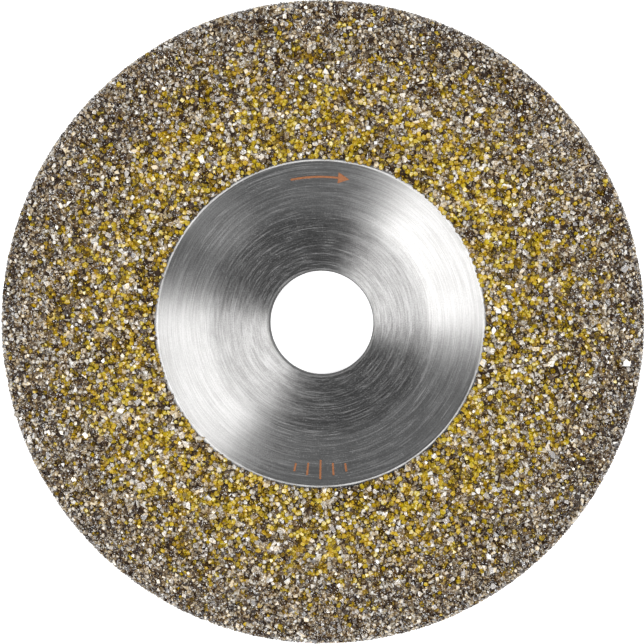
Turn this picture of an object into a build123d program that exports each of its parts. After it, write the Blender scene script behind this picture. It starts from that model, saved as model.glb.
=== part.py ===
from build123d import *

import os
from math import atan, cos, degrees, pi, radians, sin, tan
from random import Random

# Diamond grinding wheel with a depressed centre, 100 mm class, all sizes in millimetres.
# A turned steel carrier holds one layer of diamond crystals in a nickel bond, on its front face and
# round its rim. The wheel lies on its back seat: +Z is the spin axis and points out of the abrasive
# face, and the origin is on the axis in the plane of the back seat.

# Carrier
bore_d = 16.0
bore_chamfer = 0.4
overall_d = 98.5
plate_t = 3.5
dish_depth = 4.0
seat_r = 16.7
recess_r = 25.0
seat_fillet = 8.0
lip_fillet = 0.35
back_fillet = 2.0
shoulder_r = 40.0
shoulder_arc_r = 24.0
shoulder_turn = 19.0
back_edge_chamfer = 0.3

# Abrasive coat
bond_t = 0.40
crystal_stand = 0.40
bond_start_r = 25.2
bond_lip = 0.15

# Crystals: rows along the coat's profile, and a step along each row
row_pitch = 0.97
row_step = 3.45
band_count = 12
rows_in_band = 2
rim_row_count = 2
row_start = 0.55
clear_share = 3

# One crystal: its size, where its corners are cut (a share of its size), and its width to length
crystal_size = 0.86
yellow_corner_cut = 0.62
yellow_width = 1.0
clear_corner_cut = 0.72
clear_width = 1.25
corner_cut_spread = 0.07
variants = 10
seed = 20

carrier_rim_r = overall_d / 2 - bond_t - crystal_stand
face_z = plate_t + dish_depth
cone_angle = atan(dish_depth / (recess_r - seat_r))
back_offset = plate_t * tan(cone_angle / 2)
turn = radians(shoulder_turn)
turn_end_r = shoulder_r + shoulder_arc_r * sin(turn)
turn_end_z = face_z - shoulder_arc_r * (1 - cos(turn))
rim_round = (carrier_rim_r - turn_end_r) / (1 - sin(turn))
wall_top_z = turn_end_z - rim_round * cos(turn)


def shoulder_point(angle, rise):
    """A point on the convex shoulder, standing rise above the carrier's face."""
    reach = shoulder_arc_r + rise
    return (shoulder_r + reach * sin(angle), face_z - shoulder_arc_r + reach * cos(angle))


def rim_point(angle, rise):
    """A point on the rounded front corner of the rim, standing rise above the carrier."""
    centre_r = carrier_rim_r - rim_round
    reach = rim_round + rise
    return (centre_r + reach * sin(angle), wall_top_z + reach * cos(angle))


def outer_outline(rise):
    """The face, shoulder and rim of the wheel, from the flat face out to the rim's side wall."""
    middle = (turn + pi / 2) / 2
    return [
        ThreePointArc(
            shoulder_point(0, rise), shoulder_point(turn / 2, rise), shoulder_point(turn, rise)
        ),
        ThreePointArc(rim_point(turn, rise), rim_point(middle, rise), rim_point(pi / 2, rise)),
    ]


def spun(edges):
    """The solid of revolution of a closed outline, given as radius and height."""
    profile = make_face(Plane.XZ * Curve(edges))
    return revolve(profile, Axis.Z)


def carrier_disc():
    """Turned steel plate with the depressed hub, the bore and the convex working face."""
    bore_r = bore_d / 2
    inner = Polyline(
        (shoulder_r, face_z),
        (recess_r, face_z),
        (seat_r, plate_t),
        (bore_r + bore_chamfer, plate_t),
        (bore_r, plate_t - bore_chamfer),
        (bore_r, bore_chamfer),
        (bore_r + bore_chamfer, 0),
        (seat_r + back_offset, 0),
        (recess_r + back_offset, dish_depth),
        (carrier_rim_r - back_edge_chamfer, dish_depth),
        (carrier_rim_r, dish_depth + back_edge_chamfer),
        (carrier_rim_r, wall_top_z),
    )
    disc = spun([inner] + outer_outline(0))

    def ring_at(radius, height):
        return disc.edges().filter_by(GeomType.CIRCLE).sort_by(
            lambda edge: abs(edge.radius - radius) + abs(edge.center().Z - height)
        )[0]

    disc = fillet(ring_at(seat_r, plate_t), seat_fillet)
    disc = fillet(ring_at(recess_r, face_z), lip_fillet)
    disc = fillet(ring_at(seat_r + back_offset, 0), back_fillet)
    disc = fillet(ring_at(recess_r + back_offset, dish_depth), back_fillet)
    return disc


def bond_coat():
    """Nickel layer that holds the crystals, over the face, the shoulder and the rim."""
    low_z = dish_depth + back_edge_chamfer
    start = [
        Line((bond_start_r, face_z), (shoulder_r, face_z)),
        Polyline(
            (bond_start_r, face_z), (bond_start_r + bond_lip, face_z + bond_t), (shoulder_r, face_z + bond_t)
        ),
        Polyline(
            (carrier_rim_r, wall_top_z), (carrier_rim_r, low_z), (carrier_rim_r + bond_t, low_z),
            (carrier_rim_r + bond_t, wall_top_z),
        ),
    ]
    return spun(start + outer_outline(0) + outer_outline(bond_t))


def seat_on_coat(along):
    """Where a point that far along the coat's outline lies: radius, height and tilt of the surface."""
    flat = shoulder_r - bond_start_r
    shoulder = (shoulder_arc_r + bond_t) * turn
    corner = (rim_round + bond_t) * (pi / 2 - turn)
    if along < flat:
        return bond_start_r + along, face_z + bond_t, 0
    if along < flat + shoulder:
        angle = (along - flat) / (shoulder_arc_r + bond_t)
        return *shoulder_point(angle, bond_t), angle
    if along < flat + shoulder + corner:
        angle = turn + (along - flat - shoulder) / (rim_round + bond_t)
        return *rim_point(angle, bond_t), angle
    drop = along - flat - shoulder - corner
    return carrier_rim_r + bond_t, wall_top_z - drop, pi / 2


def crystal(dice, corner_cut, width):
    """The part of one crystal that stands out of the bond: a tilted block with its corners cut."""
    size = crystal_size
    block = Box(size, size * width, size)
    for x in (-1, 1):
        for y in (-1, 1):
            for z in (-1, 1):
                reach = size * corner_cut * dice.uniform(1 - corner_cut_spread, 1 + corner_cut_spread)
                cut = Plane(origin=Vector(x, y, z).normalized() * reach, z_dir=(x, y, z))
                block = split(block, bisect_by=cut, keep=Keep.BOTTOM)
    block = Rot(dice.uniform(0, 360), dice.uniform(0, 360), dice.uniform(0, 360)) * block
    top = block.bounding_box().max.Z
    block = Pos(0, 0, crystal_stand - top) * block
    return split(block, bisect_by=Plane.XY, keep=Keep.TOP).solid()


def row_places(number, dice):
    """The places of the crystals in one row, each with its own turn about the surface's normal."""
    radius, height, tilt = seat_on_coat(row_start + number * row_pitch)
    count = round(2 * pi * radius / row_step / 4) * 4
    step = 360 / count
    first = (number % 2) * step / 2
    places = []
    for i in range(count):
        around = Rot(0, 0, first + i * step)
        spin = Rot(0, 0, dice.uniform(0, 360))
        places.append(around * Pos(radius, 0, height) * Rot(0, degrees(tilt), 0) * spin)
    return places


def crystal_groups(rows, yellow, clear, dice):
    """The yellow and the clear crystals of some rows, each group as separate solids."""
    groups = {"yellow": [], "clear": []}
    for number in rows:
        for i, place in enumerate(row_places(number, dice)):
            if (i + number) % clear_share == 0:
                groups["clear"].append(dice.choice(clear).moved(place))
            else:
                groups["yellow"].append(dice.choice(yellow).moved(place))
    return groups


def write(name, shape):
    shape.label = name
    export_step(shape, f"parts/{name}.step", write_pcurves=False)
    print(name, len(shape.solids()))


def main():
    os.makedirs("parts", exist_ok=True)
    dice = Random(seed)
    yellow = [crystal(dice, yellow_corner_cut, yellow_width) for _ in range(variants)]
    clear = [crystal(dice, clear_corner_cut, clear_width) for _ in range(variants)]
    write("carrier_disc", carrier_disc())
    write("bond_coat", bond_coat())
    for band in range(band_count):
        rows = range(band * rows_in_band, (band + 1) * rows_in_band)
        for kind, solids in crystal_groups(rows, yellow, clear, dice).items():
            write(f"{kind}_crystals_band_{band + 1:02d}", Compound(solids))
    rim_rows = range(band_count * rows_in_band, band_count * rows_in_band + rim_row_count)
    for kind, solids in crystal_groups(rim_rows, yellow, clear, dice).items():
        write(f"{kind}_crystals_rim", Compound(solids))


main()
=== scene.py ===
"""Diamond grinding wheel lying on its back seat, seen from above. Sizes are in metres."""

from math import atan, cos, pi, radians, sin, tan

import bpy
import numpy as np
from mathutils import Matrix, Vector
from mathutils.kdtree import KDTree
from mathutils.noise import noise as noise_at


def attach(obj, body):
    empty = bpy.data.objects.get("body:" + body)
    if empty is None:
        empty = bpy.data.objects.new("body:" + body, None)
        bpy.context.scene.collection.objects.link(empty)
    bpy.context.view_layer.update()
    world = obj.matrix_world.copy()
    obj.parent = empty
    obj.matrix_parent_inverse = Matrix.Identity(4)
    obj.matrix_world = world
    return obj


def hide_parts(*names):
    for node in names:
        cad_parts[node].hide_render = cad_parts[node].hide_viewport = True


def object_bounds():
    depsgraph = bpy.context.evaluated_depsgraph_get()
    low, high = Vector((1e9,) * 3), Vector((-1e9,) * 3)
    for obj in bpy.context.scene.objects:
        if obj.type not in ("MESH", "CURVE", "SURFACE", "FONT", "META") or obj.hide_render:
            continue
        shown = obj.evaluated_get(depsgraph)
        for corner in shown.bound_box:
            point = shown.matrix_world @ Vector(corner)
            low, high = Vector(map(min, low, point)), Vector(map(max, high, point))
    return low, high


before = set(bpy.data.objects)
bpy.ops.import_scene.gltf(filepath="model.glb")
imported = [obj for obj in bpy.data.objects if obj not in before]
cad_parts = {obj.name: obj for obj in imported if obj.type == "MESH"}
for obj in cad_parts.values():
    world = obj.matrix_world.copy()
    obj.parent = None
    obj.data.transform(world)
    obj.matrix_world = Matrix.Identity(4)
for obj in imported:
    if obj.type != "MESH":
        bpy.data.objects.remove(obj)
cad_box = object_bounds()

MM = 0.001

# The carrier's profile, as in the CAD
BORE_R = 8.0 * MM
BORE_CHAMFER = 0.4 * MM
PLATE_T = 3.5 * MM
DISH_DEPTH = 4.0 * MM
SEAT_R = 16.7 * MM
RECESS_R = 25.0 * MM
SEAT_FILLET = 8.0 * MM
LIP_FILLET = 0.35 * MM
BACK_FILLET = 2.0 * MM
SHOULDER_R = 40.0 * MM
SHOULDER_ARC_R = 24.0 * MM
SHOULDER_TURN = radians(19.0)
BACK_CHAMFER = 0.3 * MM
BOND_T = 0.40 * MM
BOND_START_R = 25.2 * MM
CARRIER_RIM_R = 48.45 * MM

FACE_Z = PLATE_T + DISH_DEPTH
CONE_ANGLE = atan(DISH_DEPTH / (RECESS_R - SEAT_R))
BACK_OFFSET = PLATE_T * tan(CONE_ANGLE / 2)
TURN_END_R = SHOULDER_R + SHOULDER_ARC_R * sin(SHOULDER_TURN)
TURN_END_Z = FACE_Z - SHOULDER_ARC_R * (1 - cos(SHOULDER_TURN))
RIM_ROUND = (CARRIER_RIM_R - TURN_END_R) / (1 - sin(SHOULDER_TURN))
WALL_TOP_Z = TURN_END_Z - RIM_ROUND * cos(SHOULDER_TURN)
WALL_LOW_Z = DISH_DEPTH + BACK_CHAMFER

# A painted highlight line along the recess's edge, standing in for the lip's fillet catching the light: its
# middle, where it starts and ends to fade, and how light it is
EDGE_LINE_R = RECESS_R - 0.21 * MM
EDGE_LINE_HALF = (0.08 * MM, 0.16 * MM)
EDGE_LINE_LIFT = 0.8

# Painted shade: how dark the bore's wall is painted, and how far the steel is painted darker up the cone
BORE_SHADE = 0.15
CONE_SHADE_R = 20.0 * MM
CONE_SHADE = 0.93

# How finely the turned parts are cut, how uneven the bond is, how deep it reaches into the steel, and how
# many points of its outline make its inner edge
TURNS = 360
BOND_TURNS = 720
BOND_RELIEF = 0.07 * MM
RELIEF_SCALE = 1100
BOND_ROOT = 0.02 * MM
BOND_EDGE_POINTS = 3

# Direction marks: how far they stand above and reach below the steel, their lines, and the arrow's points
MARK_RISE = 0.03 * MM
MARK_ROOT = 0.06 * MM
MARK_WIDTH = 0.30 * MM
ARROW_R = 22.3 * MM
ARROW_SPREAD = radians(11.5)
ARROW_HEAD = radians(4.4)
HEAD_WIDTH = 1.7 * MM
TIP_SHARE = 0.03
SHAFT_POINTS = 28
HEAD_POINTS = 6
TICK_LENGTHS = (1.2 * MM, 1.8 * MM, 2.8 * MM, 1.8 * MM, 1.2 * MM)
TICK_STEP = radians(5.0)

# Lengths along the coat's outline: flat face, shoulder, rounded corner and rim wall
FLAT_RUN = SHOULDER_R - BOND_START_R
SHOULDER_RUN = (SHOULDER_ARC_R + BOND_T) * SHOULDER_TURN
CORNER_RUN = (RIM_ROUND + BOND_T) * (pi / 2 - SHOULDER_TURN)
WALL_RUN = WALL_TOP_Z - WALL_LOW_Z
COAT_RUN = FLAT_RUN + SHOULDER_RUN + CORNER_RUN + WALL_RUN

BANDS = 12
BAND_RUN = 2 * 0.97 * MM

# Crystals: three kinds, the shapes of each, and their half sizes in mm
BLOCK, SHARD, CHIP = 0, 1, 2
VARIANTS = 24
SHARD_SHARE = 0.20
SHARD_HALF = (0.54, 0.92)
BLOCK_HALF = (0.34, 0.52)
RIM_TILT = radians(55)
RIM_HALF = 0.38 * MM

# The distances of a crystal's faces from its middle, as shares of its half size, and how crooked a shard is
BLOCK_FACES = (0.74, 1.0)
BLOCK_CORNERS = (0.80, 1.04)
SHARD_FACES = (0.62, 0.80)
SHARD_CUTS = (0.70, 0.95)
SHARD_CROOKED = 0.22
SHARD_WIDTH = (0.62, 0.85)
SHARD_THICKNESS = (0.6, 0.85)

# How close the large crystals stand, and how they are pushed apart
AREA_EACH = 0.47 * MM**2
SHARD_REACH = 0.58
BLOCK_REACH = 0.83
COAT_MARGIN = 0.06 * MM
EDGE_OVERHANG = 0.36 * MM
NEIGHBOURS = 10
PUSH = 0.42
PUSH_ROUNDS = 30

# The chips between them
CHIP_TRIES = 120000
CHIP_SMALLEST = 0.11 * MM
CHIP_LARGEST = 0.28 * MM
CHIP_FIT = 0.80
CHIP_SPACING = 0.9
CHIP_GROWTH = 1.15

# How far the crystals stand out of the bond, in mm
STAND = 0.40
STAND_SPREAD = 0.06
CHIP_SINK = 0.12
RIM_STAND = 0.33

# The outer zone's start. The shares that are clear and the contrast of the facets' painted light and shade,
# inside it and what the rim adds
OUTER_START_R = 33 * MM
CHIPS_CLEAR = (0.52, 0.44)
BLOCKS_CLEAR = (0.26, 0.73)
FACET_CONTRAST = (0.8, 1.1)

# How the clear share drifts over the coat, the crystals' tones, and the facets painted as flashes, which are
# painted highlights
DRIFT_SCALE = 260
DRIFT = 0.3
CLEAR_LEAST = 0.08
CLEAR_FADE = 0.62
YELLOW_FADE = 0.74
# The chips' tone is darkened: painted shade for their low place in the gaps between the large crystals
CHIP_SHADE_TONE = 0.65
FLASH_ABOVE = 0.945
FLASH = 1.8

# Crystal colours from the darkest to the lightest, the brown that stains some of them, and the colours of
# the painted glints
YELLOW_TINT = (1.0, 0.86, 0.60)
CLEAR_TINT = (1.0, 0.85, 0.60)
YELLOW_GLINT = (0.80, 0.62, 0.18)
CLEAR_GLINT = (0.95, 0.94, 0.92)
YELLOW_STOPS = (
    (0.00, (0.024, 0.012, 0.003)),
    (0.20, (0.080, 0.048, 0.004)),
    (0.42, (0.240, 0.158, 0.003)),
    (0.64, (0.415, 0.293, 0.003)),
    (0.82, (0.570, 0.438, 0.035)),
    (1.00, (0.730, 0.660, 0.330)),
)
CLEAR_STOPS = (
    (0.00, (0.020, 0.011, 0.007)),
    (0.25, (0.070, 0.041, 0.017)),
    (0.50, (0.220, 0.170, 0.100)),
    (0.75, (0.540, 0.505, 0.445)),
    (1.00, (0.820, 0.814, 0.806)),
)

SEED = 7
rng = np.random.default_rng(SEED)


# ---------------------------------------------------------------- camera, light and floor


def add_camera():
    """Looks down on the abrasive face, a little from the upper right."""
    data = bpy.data.cameras.new("camera")
    camera = bpy.data.objects.new("camera", data)
    bpy.context.scene.collection.objects.link(camera)
    lean_right = radians(3.0)
    lean_up = radians(1.9)
    distance = 0.33
    view_width = (cad_box[1][0] - cad_box[0][0]) * 0.997
    data.sensor_width = 36.0
    target = Vector((0.27 * MM, 0.22 * MM, FACE_Z - 1.5 * MM))
    facing = Matrix.Rotation(-lean_up, 3, "X") @ Matrix.Rotation(lean_right, 3, "Y")
    camera.location = target + facing @ Vector((0.0, 0.0, distance))
    camera.rotation_euler = facing.to_euler()
    data.lens = data.sensor_width * distance / view_width
    data.clip_start = 0.01
    bpy.context.scene.camera = camera


def add_softbox(name, azimuth, width, power, elevation=radians(50), distance=0.9, height=0.42):
    """A rectangular studio light that faces the wheel's centre."""
    data = bpy.data.lights.new(name, "AREA")
    data.shape = "RECTANGLE"
    data.size = width
    data.size_y = height
    data.energy = power
    light = bpy.data.objects.new(name, data)
    bpy.context.scene.collection.objects.link(light)
    away = Vector((cos(azimuth) * cos(elevation), sin(azimuth) * cos(elevation), sin(elevation)))
    light.location = away * distance
    light.rotation_euler = away.to_track_quat("Z", "Y").to_euler()


def add_room():
    """A dim studio: dark overhead, paler towards the walls."""
    world = bpy.data.worlds.new("studio")
    world.use_nodes = True
    tree = world.node_tree
    place = tree.nodes.new("ShaderNodeTexCoord")
    split = tree.nodes.new("ShaderNodeSeparateXYZ")
    tree.links.new(place.outputs["Generated"], split.inputs[0])
    shade = ramp(tree, split.outputs[2], (0.0, (0.44, 0.45, 0.46)), (0.70, (0.44, 0.45, 0.46)),
                 (0.94, (0.032, 0.033, 0.035)), (1.0, (0.018, 0.018, 0.018)))
    tree.links.new(shade, tree.nodes["Background"].inputs["Color"])
    bpy.context.scene.world = world


def add_lights():
    """Two tall softboxes at the sides, which make the light sectors, and a weak low one."""
    add_room()
    add_softbox("softbox_right", azimuth=radians(22), width=0.80, power=5.9)
    add_softbox("softbox_left", azimuth=radians(208), width=0.68, power=6.2)
    add_softbox(
        "softbox_low", azimuth=radians(311), width=0.34, power=0.32, elevation=radians(27), height=0.28
    )


def add_floor():
    """A plain white floor, light enough to show as white through the bore."""
    bpy.ops.mesh.primitive_plane_add(size=6.0)
    floor = bpy.context.active_object
    floor.name = "floor"
    material, shader = new_material("floor_white")
    shader.inputs["Base Color"].default_value = (0.92, 0.92, 0.92, 1.0)
    shader.inputs["Roughness"].default_value = 0.7
    shader.inputs["Emission Color"].default_value = (1.0, 1.0, 1.0, 1.0)
    shader.inputs["Emission Strength"].default_value = 0.50
    floor.data.materials.append(material)


# ---------------------------------------------------------------- material helpers


def new_material(name):
    """A new node material and its shader."""
    material = bpy.data.materials.new(name)
    material.use_nodes = True
    return material, material.node_tree.nodes["Principled BSDF"]


def node(tree, kind, **values):
    """A new node with some of its settings."""
    made = tree.nodes.new(kind)
    for name, value in values.items():
        setattr(made, name, value)
    return made


def noise(tree, vector, scale, detail, roughness):
    """A smooth random value over a space."""
    made = tree.nodes.new("ShaderNodeTexNoise")
    made.inputs["Scale"].default_value = scale
    made.inputs["Detail"].default_value = detail
    made.inputs["Roughness"].default_value = roughness
    tree.links.new(vector, made.inputs["Vector"])
    return made.outputs["Fac"]


def ramp(tree, factor, *stops):
    """Colours along a factor; each stop is (position, (r, g, b))."""
    made = tree.nodes.new("ShaderNodeValToRGB")
    elements = made.color_ramp.elements
    while len(elements) < len(stops):
        elements.new(0.5)
    for element, (position, colour) in zip(elements, stops):
        element.position = position
        element.color = (*colour, 1.0)
    tree.links.new(factor, made.inputs["Fac"])
    return made.outputs["Color"]


def math_node(tree, operation, a, b=None):
    """One calculation. Each value is a number or another node's output."""
    made = node(tree, "ShaderNodeMath", operation=operation)
    for slot, value in zip(made.inputs, (a, b)):
        if value is None:
            continue
        if isinstance(value, (int, float)):
            slot.default_value = value
        else:
            tree.links.new(value, slot)
    return made.outputs[0]


def cells(tree, vector, scale):
    """A different random value in each cell of a space divided at random."""
    made = node(tree, "ShaderNodeTexVoronoi", feature="F1")
    made.inputs["Scale"].default_value = scale
    tree.links.new(vector, made.inputs["Vector"])
    split = tree.nodes.new("ShaderNodeSeparateColor")
    tree.links.new(made.outputs["Color"], split.inputs[0])
    return split.outputs[0]


def scaled(tree, colour, factor):
    """A colour times a number."""
    made = node(tree, "ShaderNodeVectorMath", operation="SCALE")
    tree.links.new(colour, made.inputs[0])
    tree.links.new(factor, made.inputs["Scale"])
    return made.outputs[0]


def tinted(tree, colour, tint, factor):
    """A colour multiplied by a tint, as far as the factor says."""
    made = node(tree, "ShaderNodeMix", data_type="RGBA", blend_type="MULTIPLY")
    tree.links.new(factor, made.inputs["Factor"])
    tree.links.new(colour, made.inputs["A"])
    made.inputs["B"].default_value = (*tint, 1.0)
    return made.outputs["Result"]


def weighted(tree, *pairs):
    """The sum of some values, each times its own weight."""
    total = None
    for value, weight in pairs:
        part = math_node(tree, "MULTIPLY", value, weight)
        total = part if total is None else math_node(tree, "ADD", total, part)
    return total


def map_range(tree, value, low, high, to_low, to_high):
    """A value from one range moved into another, and kept inside it."""
    made = tree.nodes.new("ShaderNodeMapRange")
    limits = (("From Min", low), ("From Max", high), ("To Min", to_low), ("To Max", to_high))
    for name, number in limits:
        made.inputs[name].default_value = number
    tree.links.new(value, made.inputs["Value"])
    return made.outputs["Result"]


def bump(tree, shader, height, strength, distance):
    """Fine relief on a material."""
    made = tree.nodes.new("ShaderNodeBump")
    made.inputs["Strength"].default_value = strength
    made.inputs["Distance"].default_value = distance
    tree.links.new(height, made.inputs["Height"])
    tree.links.new(made.outputs["Normal"], shader.inputs["Normal"])


def ring_coordinates(tree, around, across):
    """Coordinates that change fast across the radius and slowly round the axis, with no seam."""
    coords = tree.nodes.new("ShaderNodeTexCoord")
    split = tree.nodes.new("ShaderNodeSeparateXYZ")
    tree.links.new(coords.outputs["Object"], split.inputs[0])
    x, y, z = split.outputs
    squared = math_node(tree, "ADD", math_node(tree, "MULTIPLY", x, x), math_node(tree, "MULTIPLY", y, y))
    radius = math_node(tree, "SQRT", squared)
    joined = tree.nodes.new("ShaderNodeCombineXYZ")
    for slot, across_axis in zip(joined.inputs, (x, y)):
        direction = math_node(tree, "DIVIDE", across_axis, radius)
        tree.links.new(math_node(tree, "MULTIPLY", direction, around), slot)
    outline = math_node(tree, "ADD", radius, math_node(tree, "MULTIPLY", z, 0.5))
    tree.links.new(math_node(tree, "MULTIPLY", outline, across), joined.inputs[2])
    return coords.outputs["Object"], radius, joined.outputs[0]


# ---------------------------------------------------------------- materials


def turned_steel():
    """Bright steel with the rings and scratches that a lathe tool leaves, and a radial highlight."""
    material, shader = new_material("turned_steel")
    tree = material.node_tree
    place, radius, wide = ring_coordinates(tree, around=2.0, across=1400.0)
    _, _, rings = ring_coordinates(tree, around=2.5, across=5500.0)
    _, _, arcs = ring_coordinates(tree, around=6.0, across=6700.0)
    wide_rings = noise(tree, wide, scale=1.0, detail=3.0, roughness=0.6)
    fine_rings = noise(tree, rings, scale=1.0, detail=2.0, roughness=0.55)
    short_arcs = noise(tree, arcs, scale=1.0, detail=2.0, roughness=0.6)
    blotches = noise(tree, place, scale=240.0, detail=3.0, roughness=0.5)
    grain = noise(tree, place, scale=6500.0, detail=1.0, roughness=0.5)
    tone = weighted(
        tree, (wide_rings, 0.19), (fine_rings, 0.26), (short_arcs, 0.24), (blotches, 0.10), (grain, 0.21)
    )
    base = ramp(
        tree, tone, (0.42, (0.31, 0.305, 0.30)), (0.50, (0.40, 0.395, 0.39)), (0.57, (0.50, 0.495, 0.49))
    )
    # Painted shade on the bore's wall
    bore = map_range(tree, radius, BORE_R, BORE_R + BORE_CHAMFER / 2, BORE_SHADE, 1.0)
    split = tree.nodes.new("ShaderNodeSeparateXYZ")
    tree.links.new(place, split.inputs[0])
    # Painted highlight on the lip's edge: a thin ring of lighter colour and less metal
    on_lip = map_range(tree, split.outputs[2], FACE_Z - 1.0 * MM, FACE_Z - 0.5 * MM, 0.0, EDGE_LINE_LIFT)
    edge = math_node(tree, "ABSOLUTE", math_node(tree, "SUBTRACT", radius, EDGE_LINE_R))
    painted_lip_highlight = math_node(tree, "MULTIPLY", map_range(tree, edge, *EDGE_LINE_HALF, 1.0, 0.0), on_lip)
    lip_highlight_lift = math_node(tree, "ADD", painted_lip_highlight, 1.0)
    # Painted shade, darker up the cone towards the recess's edge
    painted_cone_shade = map_range(tree, radius, CONE_SHADE_R, RECESS_R, 1.0, CONE_SHADE)
    # The base colour's factor: painted shade of bore and cone times the painted lip highlight
    shade = math_node(tree, "MULTIPLY", math_node(tree, "MULTIPLY", bore, painted_cone_shade), lip_highlight_lift)
    tree.links.new(scaled(tree, base, shade), shader.inputs["Base Color"])
    scuffs = weighted(
        tree,
        (map_range(tree, fine_rings, 0.56, 0.68, 0.0, 1.0), 0.60),
        (map_range(tree, short_arcs, 0.58, 0.68, 0.0, 1.0), 0.50),
        (map_range(tree, grain, 0.63, 0.70, 0.0, 1.0), 0.90),
    )
    dull = math_node(tree, "ADD", math_node(tree, "MULTIPLY", scuffs, 0.32), painted_lip_highlight)
    tree.links.new(math_node(tree, "SUBTRACT", 1.0, dull), shader.inputs["Metallic"])
    tree.links.new(map_range(tree, tone, 0.3, 0.7, 0.30, 0.42), shader.inputs["Roughness"])
    shader.inputs["Anisotropic"].default_value = 0.95
    shader.inputs["Anisotropic Rotation"].default_value = 0.25
    tangent = node(tree, "ShaderNodeTangent", direction_type="RADIAL", axis="Z")
    tree.links.new(tangent.outputs[0], shader.inputs["Tangent"])
    bump(tree, shader, tone, strength=0.5, distance=0.04 * MM)
    return material


def nickel_bond():
    """Dark plated metal between the crystals, brown to blue-grey, pitted."""
    material, shader = new_material("nickel_bond")
    tree = material.node_tree
    coords = tree.nodes.new("ShaderNodeTexCoord").outputs["Object"]
    patches = noise(tree, coords, scale=700.0, detail=4.0, roughness=0.6)
    grains = noise(tree, coords, scale=5200.0, detail=3.0, roughness=0.6)
    tree.links.new(
        ramp(tree, patches, (0.30, (0.012, 0.005, 0.002)), (0.58, (0.030, 0.016, 0.008)),
             (0.78, (0.046, 0.045, 0.050))),
        shader.inputs["Base Color"],
    )
    shader.inputs["Metallic"].default_value = 0.2
    shader.inputs["Specular IOR Level"].default_value = 0.18
    tree.links.new(map_range(tree, grains, 0.3, 0.7, 0.35, 0.65), shader.inputs["Roughness"])
    bump(tree, shader, grains, strength=0.6, distance=0.06 * MM)
    return material


def crystal_material(name, stops, tint, glint_colour, shares, ior):
    """Glossy crystal. Each has its own tone, with painted shade towards its foot, painted internal
    reflections in small cells, and a few painted glints.
    """
    material, shader = new_material(name)
    tree = material.node_tree
    coords = tree.nodes.new("ShaderNodeTexCoord").outputs["Object"]
    tone = node(tree, "ShaderNodeAttribute", attribute_name="tone").outputs["Fac"]
    facet = node(tree, "ShaderNodeAttribute", attribute_name="facet").outputs["Fac"]
    foot = node(tree, "ShaderNodeAttribute", attribute_name="height").outputs["Fac"]
    # Painted internal reflections: lighter and darker small cells in the crystals' colour
    inner = cells(tree, coords, scale=4800.0)
    glint_cells = cells(tree, coords, scale=9000.0)
    mixed = weighted(tree, *zip((tone, facet, inner), shares))
    stretched = map_range(tree, mixed, 0.18, 0.86, 0.0, 1.0)
    # Painted shade: each crystal darker towards its foot, where it meets the bond
    foot_shaded_tone = math_node(tree, "MULTIPLY", stretched, map_range(tree, foot, 0.05, 0.60, 0.50, 1.0))
    stained = map_range(tree, cells(tree, coords, scale=1300.0), 0.3, 0.7, 0.0, 1.0)
    body = tinted(tree, ramp(tree, foot_shaded_tone, *stops), tint, stained)
    # Painted glints: a few small cells of the base colour turned to the glint colour
    glint = map_range(tree, glint_cells, 0.93, 0.95, 0.0, 0.8)
    joined = node(tree, "ShaderNodeMix", data_type="RGBA")
    joined.inputs["B"].default_value = (*glint_colour, 1.0)
    tree.links.new(glint, joined.inputs["Factor"])
    tree.links.new(body, joined.inputs["A"])
    tree.links.new(joined.outputs["Result"], shader.inputs["Base Color"])
    etch = noise(tree, coords, scale=14000.0, detail=2.0, roughness=0.5)
    shader.inputs["IOR"].default_value = ior
    tree.links.new(map_range(tree, etch, 0.3, 0.7, 0.06, 0.24), shader.inputs["Roughness"])
    bump(tree, shader, etch, strength=0.15, distance=0.02 * MM)
    return material


def etched_copper():
    """The thin copper-coloured line of the direction marks."""
    material, shader = new_material("etched_copper")
    tree = material.node_tree
    coords = tree.nodes.new("ShaderNodeTexCoord").outputs["Object"]
    grains = noise(tree, coords, scale=6000.0, detail=3.0, roughness=0.6)
    copper = ramp(tree, grains, (0.3, (0.22, 0.080, 0.030)), (0.7, (0.42, 0.165, 0.065)))
    tree.links.new(copper, shader.inputs["Base Color"])
    shader.inputs["Metallic"].default_value = 0.2
    tree.links.new(map_range(tree, grains, 0.3, 0.7, 0.45, 0.7), shader.inputs["Roughness"])
    bump(tree, shader, grains, strength=0.4, distance=0.02 * MM)
    return material


# ---------------------------------------------------------------- turned parts


def unit(vectors):
    """Vectors brought to length 1."""
    return vectors / np.linalg.norm(vectors, axis=-1, keepdims=True)


def corner(points, index, radius, steps=8):
    """The arc that rounds one corner of an outline of (radius, height) points."""
    before, at, after = (Vector(points[i]) for i in (index - 1, index, index + 1))
    back = (before - at).normalized()
    onward = (after - at).normalized()
    half = back.angle(onward) / 2
    reach = radius / tan(half)
    centre = at + (back + onward).normalized() * (radius / sin(half))
    start = at + back * reach - centre
    end = at + onward * reach - centre
    sweep = start.angle_signed(end)
    arc = []
    for i in range(steps + 1):
        turned = Matrix.Rotation(-sweep * i / steps, 2) @ start
        arc.append(tuple(centre + turned))
    return arc


def shoulder_points(rise, first, last, steps):
    """Points along the shoulder's arc, a distance above the steel."""
    reach = SHOULDER_ARC_R + rise
    angles = [first + (last - first) * i / steps for i in range(steps + 1)]
    return [(SHOULDER_R + reach * sin(a), FACE_Z - SHOULDER_ARC_R + reach * cos(a)) for a in angles]


def rim_points(rise, steps):
    """Points round the rim's upper corner, a distance above the steel."""
    centre_r = CARRIER_RIM_R - RIM_ROUND
    reach = RIM_ROUND + rise
    angles = [SHOULDER_TURN + (pi / 2 - SHOULDER_TURN) * i / steps for i in range(steps + 1)]
    return [(centre_r + reach * sin(a), WALL_TOP_Z + reach * cos(a)) for a in angles]


def straight(start, end, steps):
    """Points along a straight run, without its last point."""
    return [
        (start[0] + (end[0] - start[0]) * i / steps, start[1] + (end[1] - start[1]) * i / steps)
        for i in range(steps)
    ]


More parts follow.
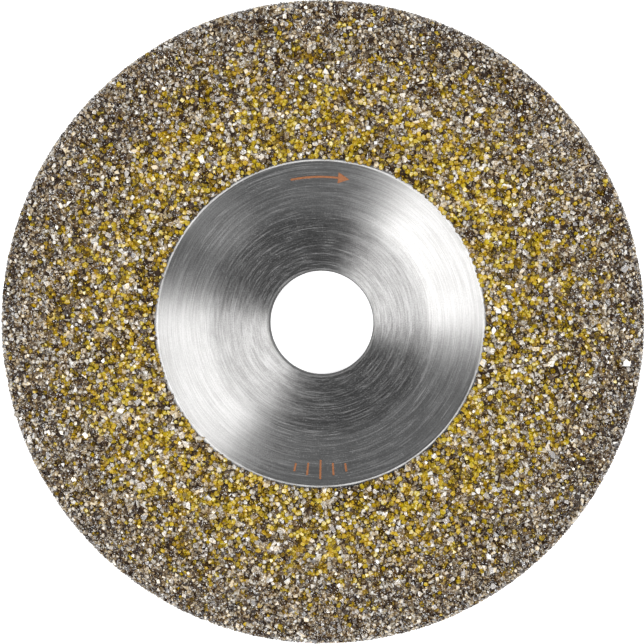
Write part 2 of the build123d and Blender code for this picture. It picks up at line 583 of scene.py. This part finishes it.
def lathe(name, outline, turns=TURNS, sharp_above=radians(35), rough=(), relief=0.0):
    """A closed outline of (radius, height) points spun round the axis.

    It runs inwards along the top and outwards along the back, so that the faces look outwards. The outline
    points listed in rough stand in or out of it unevenly, by up to relief.
    """
    count = len(outline)
    angles = np.arange(turns) * 2 * pi / turns
    ring = np.array(outline)
    along = unit(np.roll(ring, -1, axis=0) - np.roll(ring, 1, axis=0))
    vertices = np.empty((turns, count, 3))
    for i, angle in enumerate(angles):
        flat = np.array([cos(angle), sin(angle)])
        points = np.column_stack([ring[:, :1] * flat, ring[:, 1]])
        for k in rough:
            uneven = noise_at(Vector(points[k]) * RELIEF_SCALE) * relief
            points[k, :2] += flat * along[k, 1] * uneven
            points[k, 2] -= along[k, 0] * uneven
        vertices[i] = points
    faces = []
    for i in range(turns):
        j = (i + 1) % turns
        for k in range(count):
            m = (k + 1) % count
            faces.append((i * count + k, j * count + k, j * count + m, i * count + m))
    mesh = bpy.data.meshes.new(name)
    mesh.from_pydata(vertices.reshape(-1, 3).tolist(), [], faces)
    mesh.validate()
    mesh.shade_smooth()
    mesh.set_sharp_from_angle(angle=sharp_above)
    made = bpy.data.objects.new(name, mesh)
    bpy.context.scene.collection.objects.link(made)
    return made


def build_carrier():
    """The turned steel plate, with every fillet and chamfer of the CAD outline."""
    corners = [
        (SHOULDER_R, FACE_Z),
        (RECESS_R, FACE_Z),
        (SEAT_R, PLATE_T),
        (BORE_R + BORE_CHAMFER, PLATE_T),
        (BORE_R, PLATE_T - BORE_CHAMFER),
        (BORE_R, BORE_CHAMFER),
        (BORE_R + BORE_CHAMFER, 0.0),
        (SEAT_R + BACK_OFFSET, 0.0),
        (RECESS_R + BACK_OFFSET, DISH_DEPTH),
        (CARRIER_RIM_R - BACK_CHAMFER, DISH_DEPTH),
        (CARRIER_RIM_R, WALL_LOW_Z),
        (CARRIER_RIM_R, WALL_TOP_Z),
    ]
    lip = corner(corners, 1, LIP_FILLET)
    seat = corner(corners, 2, SEAT_FILLET, 16)
    back_in = corner(corners, 7, BACK_FILLET)
    back_out = corner(corners, 8, BACK_FILLET)
    outline = straight(corners[0], lip[0], 8) + lip
    outline += straight(lip[-1], seat[0], 10)[1:] + seat
    outline += straight(seat[-1], corners[3], 10)[1:]
    outline += corners[3:7]
    outline += straight(corners[6], back_in[0], 8)[1:] + back_in
    outline += straight(back_in[-1], back_out[0], 6)[1:] + back_out
    outline += straight(back_out[-1], corners[9], 12)[1:]
    outline += corners[9:11]
    outline += rim_points(0.0, 6)[::-1]
    outline += shoulder_points(0.0, 0.0, SHOULDER_TURN, 10)[::-1][1:-1]
    carrier = lathe("carrier_disc_turned", outline)
    carrier.data.materials.append(turned_steel())
    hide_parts("carrier_disc")
    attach(carrier, "root")


def build_bond():
    """The nickel coat, standing on the carrier's face, shoulder and rim."""
    lift = 0.15 * MM
    outline = [(BOND_START_R, FACE_Z - BOND_ROOT), (BOND_START_R + 0.05 * MM, FACE_Z + 0.6 * BOND_T),
               (BOND_START_R + lift, FACE_Z + BOND_T)]
    outline += straight((BOND_START_R + 3 * lift, FACE_Z + BOND_T), (SHOULDER_R, FACE_Z + BOND_T), 30)
    outline += shoulder_points(BOND_T, 0.0, SHOULDER_TURN, 16)
    outline += rim_points(BOND_T, 8)[1:]
    outline += straight(outline[-1], (CARRIER_RIM_R + BOND_T, WALL_LOW_Z + lift), 4)[1:]
    seen = len(outline)
    outline += [(CARRIER_RIM_R + BOND_T, WALL_LOW_Z + lift), (CARRIER_RIM_R + BOND_T - lift, WALL_LOW_Z),
                (CARRIER_RIM_R - BOND_ROOT, WALL_LOW_Z)]
    outline += rim_points(-BOND_ROOT, 6)[::-1]
    outline += shoulder_points(-BOND_ROOT, 0.0, SHOULDER_TURN, 8)[::-1][1:]
    rough = range(len(outline) - seen, len(outline) - BOND_EDGE_POINTS)
    bond = lathe("bond_coat_plated", outline[::-1], BOND_TURNS, rough=rough, relief=BOND_RELIEF)
    bond.data.materials.append(nickel_bond())
    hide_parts("bond_coat")
    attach(bond, "root")


# ---------------------------------------------------------------- direction marks


def hub_height(radius):
    """Height of the recess's surface at a radius on the seat, its fillet or the cone."""
    reach = SEAT_FILLET * tan(CONE_ANGLE / 2)
    start = SEAT_R - reach
    if radius < start:
        return PLATE_T
    if radius < start + SEAT_FILLET * sin(CONE_ANGLE):
        return PLATE_T + SEAT_FILLET - (SEAT_FILLET**2 - (radius - start) ** 2) ** 0.5
    return PLATE_T + (radius - SEAT_R) * tan(CONE_ANGLE)


def strip(stations, vertices, faces):
    """A thin closed strip on the hub through stations of (angle, inner radius, outer radius)."""
    first = len(vertices)
    for angle, inner, outer in stations:
        section = ((inner, -MARK_ROOT), (inner, MARK_RISE), (outer, MARK_RISE), (outer, -MARK_ROOT))
        for radius, rise in section:
            vertices.append((radius * cos(angle), radius * sin(angle), hub_height(radius) + rise))
    for i in range(len(stations) - 1):
        for k in range(4):
            m = (k + 1) % 4
            row = first + 4 * i
            faces.append((row + m, row + 4 + m, row + 4 + k, row + k))
    last = len(vertices) - 4
    faces.append((first + 3, first + 2, first + 1, first))
    faces.append((last, last + 1, last + 2, last + 3))


def build_marks():
    """A plain arrow for the direction of turning, and plain index ticks opposite it."""
    vertices = []
    faces = []
    half = MARK_WIDTH / 2
    top = pi / 2
    sweep = np.linspace(top - ARROW_SPREAD + ARROW_HEAD, top + ARROW_SPREAD, SHAFT_POINTS)
    strip([(angle, ARROW_R - half, ARROW_R + half) for angle in sweep], vertices, faces)
    head = []
    for share in np.linspace(0, 1, HEAD_POINTS):
        reach = HEAD_WIDTH / 2 * max(share, TIP_SHARE)
        head.append((top - ARROW_SPREAD + ARROW_HEAD * share, ARROW_R - reach, ARROW_R + reach))
    strip(head, vertices, faces)
    for i, length in enumerate(TICK_LENGTHS):
        middle = -top + (i - len(TICK_LENGTHS) // 2) * TICK_STEP
        edges = (middle - half / ARROW_R, middle + half / ARROW_R)
        strip([(angle, ARROW_R - length / 2, ARROW_R + length / 2) for angle in edges], vertices, faces)
    mesh = bpy.data.meshes.new("direction_marks")
    mesh.from_pydata(vertices, [], faces)
    marks = bpy.data.objects.new("direction_marks", mesh)
    bpy.context.scene.collection.objects.link(marks)
    marks.data.materials.append(etched_copper())
    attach(marks, "root")


# ---------------------------------------------------------------- crystals


def on_coat(along):
    """Radius, height and tilt of the coat's surface at a distance along its outline (arrays)."""
    shoulder = (along - FLAT_RUN) / (SHOULDER_ARC_R + BOND_T)
    corner_angle = SHOULDER_TURN + (along - FLAT_RUN - SHOULDER_RUN) / (RIM_ROUND + BOND_T)
    drop = along - FLAT_RUN - SHOULDER_RUN - CORNER_RUN
    cases = [along < FLAT_RUN, along < FLAT_RUN + SHOULDER_RUN, drop < 0]
    radius = np.select(
        cases,
        [
            BOND_START_R + along,
            SHOULDER_R + (SHOULDER_ARC_R + BOND_T) * np.sin(shoulder),
            CARRIER_RIM_R - RIM_ROUND + (RIM_ROUND + BOND_T) * np.sin(corner_angle),
        ],
        CARRIER_RIM_R + BOND_T,
    )
    height = np.select(
        cases,
        [
            np.full_like(along, FACE_Z + BOND_T),
            FACE_Z - SHOULDER_ARC_R + (SHOULDER_ARC_R + BOND_T) * np.cos(shoulder),
            WALL_TOP_Z + (RIM_ROUND + BOND_T) * np.cos(corner_angle),
        ],
        WALL_TOP_Z - drop,
    )
    tilt = np.select(cases, [np.zeros_like(along), shoulder, corner_angle], pi / 2)
    return radius, height, tilt


def positions(along, angle):
    """Points on the coat at some distances along its outline and angles round the axis."""
    radius, height, _ = on_coat(along)
    return np.stack([radius * np.cos(angle), radius * np.sin(angle), height], axis=1)


def nearest(points, others, count):
    """The indices of the nearest of some other points to each point."""
    tree = KDTree(len(others))
    for i, point in enumerate(others):
        tree.insert(point, i)
    tree.balance()
    return np.array([[hit[1] for hit in tree.find_n(point, count)] for point in points])


def pushed_apart(along, angle, half, margin, rounds):
    """Moves crystals over the coat, inside its edges, until few of them overlap."""
    count = len(along)
    itself = np.arange(count)[:, None]
    for _ in range(rounds):
        points = positions(along, angle)
        found = nearest(points, points, NEIGHBOURS)
        gap = points[:, None, :] - points[found]
        distance = np.linalg.norm(gap, axis=2) + 1e-9
        overlap = np.clip(half[:, None] + half[found] - distance, 0, None)
        overlap[found == itself] = 0
        push = (gap / distance[:, :, None] * overlap[:, :, None] * PUSH).sum(axis=1)
        radius, _, tilt = on_coat(along)
        level = np.cos(tilt)
        downhill = np.stack([np.cos(angle) * level, np.sin(angle) * level, -np.sin(tilt)], axis=1)
        round_way = np.stack([-np.sin(angle), np.cos(angle), np.zeros(count)], axis=1)
        along = np.clip(along + (push * downhill).sum(axis=1), margin, COAT_RUN - margin)
        angle = angle + (push * round_way).sum(axis=1) / radius
    return along, angle


def random_places(count, margin):
    """Places spread evenly over the coat's area."""
    along = rng.uniform(margin, COAT_RUN - margin, count * 2)
    keep = rng.uniform(0, CARRIER_RIM_R + BOND_T, count * 2) < on_coat(along)[0]
    along = along[keep][:count]
    return along, rng.uniform(-pi, pi, len(along))


def filled_gaps(along, angle, half):
    """Small crystals for the gaps that the large ones leave."""
    new_along, new_angle = random_places(CHIP_TRIES, COAT_MARGIN / 2)
    points = positions(new_along, new_angle)
    old = positions(along, angle)
    found = nearest(points, old, 4)
    room = (np.linalg.norm(points[:, None, :] - old[found], axis=2) - half[found]).min(axis=1)
    order = [i for i in np.argsort(-room) if room[i] > CHIP_SMALLEST]
    taken = {}
    kept = []
    for i in order:
        cell = tuple((points[i] / (2 * CHIP_LARGEST)).astype(int))
        around = [taken.get((cell[0] + dx, cell[1] + dy, cell[2] + dz), ())
                  for dx in (-1, 0, 1) for dy in (-1, 0, 1) for dz in (-1, 0, 1)]
        size = min(room[i], CHIP_LARGEST)
        if all(np.linalg.norm(points[i] - points[j]) > CHIP_SPACING * (size + min(room[j], CHIP_LARGEST))
               for near in around for j in near):
            kept.append(i)
            taken.setdefault(cell, []).append(i)
    return new_along[kept], new_angle[kept], np.minimum(room[kept], CHIP_LARGEST)


def scatter():
    """Packs the crystals at random over the coat: blocks and shards first, then chips in the gaps."""
    mean_radius = on_coat(np.linspace(0, COAT_RUN, 200))[0].mean()
    along, angle = random_places(int(2 * pi * mean_radius * COAT_RUN / AREA_EACH), COAT_MARGIN)
    count = len(along)
    kind = np.where(rng.uniform(0, 1, count) < SHARD_SHARE, SHARD, BLOCK)
    half = np.where(kind == SHARD, rng.uniform(*SHARD_HALF, count), rng.uniform(*BLOCK_HALF, count)) * MM
    on_rim = on_coat(along)[2] > RIM_TILT
    half = np.where(on_rim, np.minimum(half, RIM_HALF), half)
    reach = np.where(kind == SHARD, SHARD_REACH, BLOCK_REACH) * half
    margin = np.maximum(COAT_MARGIN, half - EDGE_OVERHANG)
    along, angle = pushed_apart(along, angle, reach, margin, PUSH_ROUNDS)
    chips = filled_gaps(along, angle, reach * CHIP_FIT)
    along = np.concatenate([along, chips[0]])
    angle = np.concatenate([angle, chips[1]])
    half = np.concatenate([half, chips[2] * CHIP_GROWTH])
    kind = np.concatenate([kind, np.full(len(chips[0]), CHIP)])
    return along, angle, kind, half


# How nearly parallel three planes may be, and how exactly points are tested against planes
NEARLY_PARALLEL = 1e-3
INSIDE = 1e-7
ON_PLANE = 1e-5


def polyhedron(normals, offsets):
    """Vertices and outward faces of the solid inside a set of planes."""
    vertices = []
    count = len(normals)
    for i in range(count):
        for j in range(i + 1, count):
            for k in range(j + 1, count):
                three = normals[[i, j, k]]
                if abs(np.linalg.det(three)) < NEARLY_PARALLEL:
                    continue
                point = np.linalg.solve(three, offsets[[i, j, k]])
                if (normals @ point <= offsets + INSIDE).all():
                    vertices.append(point)
    vertices = np.unique(np.round(np.array(vertices), 6), axis=0)
    faces = []
    for normal, offset in zip(normals, offsets):
        on_plane = np.where(abs(vertices @ normal - offset) < ON_PLANE)[0]
        if len(on_plane) < 3:
            continue
        centre = vertices[on_plane].mean(axis=0)
        side = vertices[on_plane[0]] - centre
        side /= np.linalg.norm(side)
        up = np.cross(normal, side)
        spokes = vertices[on_plane] - centre
        order = np.argsort(np.arctan2(spokes @ up, spokes @ side))
        faces.append([int(v) for v in on_plane[order]])
    return vertices, faces


CUBE_NORMALS = np.array([v for v in np.ndindex(3, 3, 3) if abs(np.array(v) - 1).sum() == 1]) - 1.0
OCTA_NORMALS = unit(np.array([v for v in np.ndindex(2, 2, 2)]) * 2.0 - 1.0)


def block_crystal():
    """A well-grown crystal: a cube with its eight corners cut, faces a little uneven."""
    normals = np.vstack([CUBE_NORMALS, OCTA_NORMALS])
    offsets = np.concatenate([rng.uniform(*BLOCK_FACES, 6), rng.uniform(*BLOCK_CORNERS, 8)])
    return polyhedron(normals, offsets)


def shard_crystal():
    """A broken crystal: longer than it is wide, with crooked faces."""
    even = np.vstack([CUBE_NORMALS, unit(rng.normal(size=(5, 3)))])
    normals = unit(even + rng.normal(0, SHARD_CROOKED, (11, 3)))
    offsets = np.concatenate([np.tile(rng.uniform(*SHARD_FACES), 6), rng.uniform(*SHARD_CUTS, 5)])
    vertices, faces = polyhedron(normals, offsets)
    return vertices * np.array([1.0, rng.uniform(*SHARD_WIDTH), rng.uniform(*SHARD_THICKNESS)]), faces


def random_turns(count):
    """Rotation matrices spread evenly over all directions, from random quaternions."""
    w, x, y, z = unit(rng.normal(size=(count, 4))).T
    return np.stack(
        [
            np.stack([1 - 2 * (y * y + z * z), 2 * (x * y - w * z), 2 * (x * z + w * y)], axis=1),
            np.stack([2 * (x * y + w * z), 1 - 2 * (x * x + z * z), 2 * (y * z - w * x)], axis=1),
            np.stack([2 * (x * z - w * y), 2 * (y * z + w * x), 1 - 2 * (x * x + y * y)], axis=1),
        ],
        axis=1,
    )


def facet_painted_light(count, contrast):
    """Painted light and shade for each facet, drawn at random; a few are painted flashes."""
    drawn = rng.uniform(0, 1, count)
    return np.where(drawn > FLASH_ABOVE, FLASH, 0.5 + (drawn - 0.5) * contrast)


def crystal_piece(name, chosen, surface, outward, stand, turns, half, tone, contrast, variants, pick):
    """One mesh of many separate crystals."""
    vertices = []
    faces = []
    tones = []
    heights = []
    facets = []
    start = 0
    for i in chosen:
        shape, shape_faces = variants[pick[i]]
        turned = (shape @ turns[i].T) * half[i]
        rises = turned @ outward[i]
        vertices.append(turned + surface[i] + outward[i] * (stand[i] - rises.max()))
        faces.extend([tuple(v + start for v in face) for face in shape_faces])
        tones.append(np.full(len(shape), tone[i]))
        heights.append(np.clip(rises / rises.max(), 0, 1))
        facets.append(facet_painted_light(len(shape_faces), contrast[i]))
        start += len(shape)
    mesh = bpy.data.meshes.new(name)
    mesh.from_pydata(np.vstack(vertices).tolist(), [], faces)
    for label, values in (("tone", tones), ("height", heights)):
        attribute = mesh.attributes.new(label, "FLOAT", "POINT")
        attribute.data.foreach_set("value", np.concatenate(values).astype(np.float32))
    attribute = mesh.attributes.new("facet", "FLOAT", "FACE")
    attribute.data.foreach_set("value", np.concatenate(facets).astype(np.float32))
    mesh.update()
    made = bpy.data.objects.new(name, mesh)
    bpy.context.scene.collection.objects.link(made)
    return made


def build_crystals():
    """The single layer of crystals, one piece for each band and kind, as in the CAD."""
    along, angle, kind, half = scatter()
    count = len(along)
    radius, height, tilt = on_coat(along)
    outward = np.stack([np.cos(angle) * np.sin(tilt), np.sin(angle) * np.sin(tilt), np.cos(tilt)], axis=1)
    surface = np.stack([radius * np.cos(angle), radius * np.sin(angle), height], axis=1)
    stand = rng.normal(STAND, STAND_SPREAD, count) - CHIP_SINK * (kind == CHIP)
    stand = np.where(tilt > RIM_TILT, np.minimum(stand, RIM_STAND), stand) * MM
    turns = random_turns(count)
    tone = rng.uniform(0.0, 1.0, count)
    variants = [block_crystal() for _ in range(VARIANTS)] + [shard_crystal() for _ in range(VARIANTS)]
    pick = rng.integers(0, VARIANTS, count)
    choice = np.where(kind == BLOCK, pick, pick + VARIANTS)
    looks = {
        "yellow": crystal_material(
            "yellow_diamond", YELLOW_STOPS, YELLOW_TINT, YELLOW_GLINT, (0.48, 0.30, 0.22), 1.6
        ),
        "clear": crystal_material(
            "clear_diamond", CLEAR_STOPS, CLEAR_TINT, CLEAR_GLINT, (0.42, 0.31, 0.27), 1.72
        ),
    }
    outer = np.clip((radius - OUTER_START_R) / (CARRIER_RIM_R - OUTER_START_R), 0, 1)
    drift = np.array([noise_at(Vector(point) * DRIFT_SCALE) for point in surface])
    clear_share = np.select(
        [kind == SHARD, kind == CHIP],
        [1.0, CHIPS_CLEAR[0] + CHIPS_CLEAR[1] * outer],
        BLOCKS_CLEAR[0] + BLOCKS_CLEAR[1] * outer + DRIFT * drift,
    )
    is_clear = rng.uniform(0, 1, count) < clear_share
    tone = np.where(is_clear, CLEAR_LEAST + (1 - CLEAR_LEAST) * tone, tone)
    tone = tone * np.where(is_clear, 1 - CLEAR_FADE * outer, 1 - YELLOW_FADE * outer)
    # Painted shade: the chips, low in the gaps, are darkened
    tone = tone * np.where(kind == CHIP, CHIP_SHADE_TONE, 1.0)
    contrast = FACET_CONTRAST[0] + FACET_CONTRAST[1] * outer
    band = np.minimum((along / BAND_RUN).astype(int), BANDS)
    for number in range(BANDS + 1):
        tag = "rim" if number == BANDS else f"band_{number + 1:02d}"
        for colour, mask in (("yellow", ~is_clear), ("clear", is_clear)):
            chosen = np.where((band == number) & mask)[0]
            piece = crystal_piece(
                f"{colour}_diamonds_{tag}", chosen, surface, outward, stand, turns, half, tone, contrast,
                variants, choice,
            )
            piece.data.materials.append(looks[colour])
            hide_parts(f"{colour}_crystals_{tag}")
            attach(piece, "root")


add_camera()
add_lights()
add_floor()
build_carrier()
build_bond()
build_marks()
build_crystals()

bpy.context.scene.view_settings.view_transform = "Standard"
bpy.context.view_layer.update()
